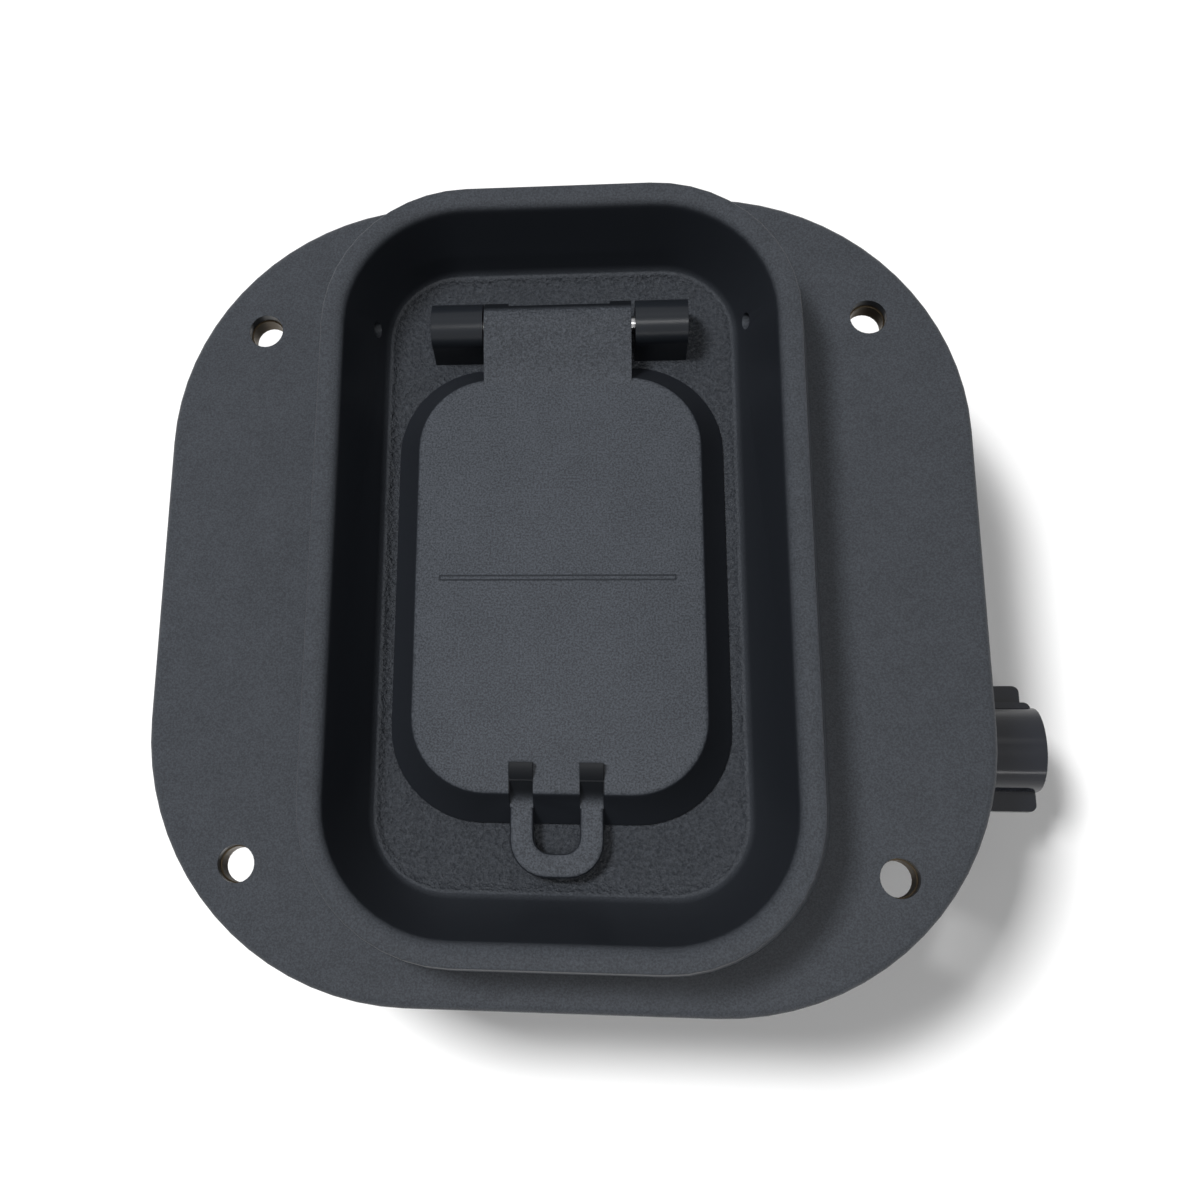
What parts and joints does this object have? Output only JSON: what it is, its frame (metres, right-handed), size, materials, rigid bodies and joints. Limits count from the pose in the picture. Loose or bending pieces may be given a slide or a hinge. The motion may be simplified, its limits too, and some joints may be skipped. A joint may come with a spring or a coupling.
{
  "type": "recessed accessory socket with hinged lid",
  "caption": "Charcoal plastic recessed power socket: rounded-square bolt-on flange, deep raised-rim bowl, hinged lid with a finger loop, and a side-facing rear connector.",
  "frame": {"origin": "Centre of the flange in x and y, on the flat back face of the rear housing in z.", "axes": "+Z out of the bowl through the lid's face, +Y towards the hinge, +X towards the rear connector."},
  "size_m": [0.1388, 0.127, 0.0673],
  "materials": {
    "bezel_plastic": "fine moulded grain, satin bowl walls",
    "lid_plastic": "fine moulded grain",
    "cover_plastic": "smooth moulded gloss",
    "holder_plastic": "smooth moulded",
    "insulator_board": "pressed phenolic board",
    "seal_rubber": "soft matte rubber",
    "pin_steel": "drawn wire",
    "shell_plating": "bright nickel plating",
    "sleeve_steel": "dull yellow zinc plating",
    "contact_brass": "stamped brass",
    "screw_steel": "black coated steel"
  },
  "bodies": {
    "base": {"bezel": "bezel_plastic", "bolt_sleeve_1": "sleeve_steel", "bolt_sleeve_2": "sleeve_steel", "bolt_sleeve_3": "sleeve_steel", "bolt_sleeve_4": "sleeve_steel", "hinge_pin": "pin_steel", "socket_holder": "holder_plastic", "socket_shell": "shell_plating", "contact_insulator": "insulator_board", "centre_contact": "contact_brass", "positive_terminal": "contact_brass", "negative_terminal": "contact_brass", "rear_cover": "cover_plastic", "rear_gasket": "seal_rubber", "cover_screw_1": "screw_steel", "cover_screw_2": "screw_steel", "cover_screw_3": "screw_steel", "cover_screw_4": "screw_steel"},
    "lid": {"lid": "lid_plastic", "lid_seal": "seal_rubber"}
  },
  "joints": [
    {"name": "lid_hinge", "type": "hinge", "parent": "base", "child": "lid", "pos_m": [0, 0.0397, 0.0558], "axis": [-1, 0, 0], "range_deg": [0, 110]}
  ]
}
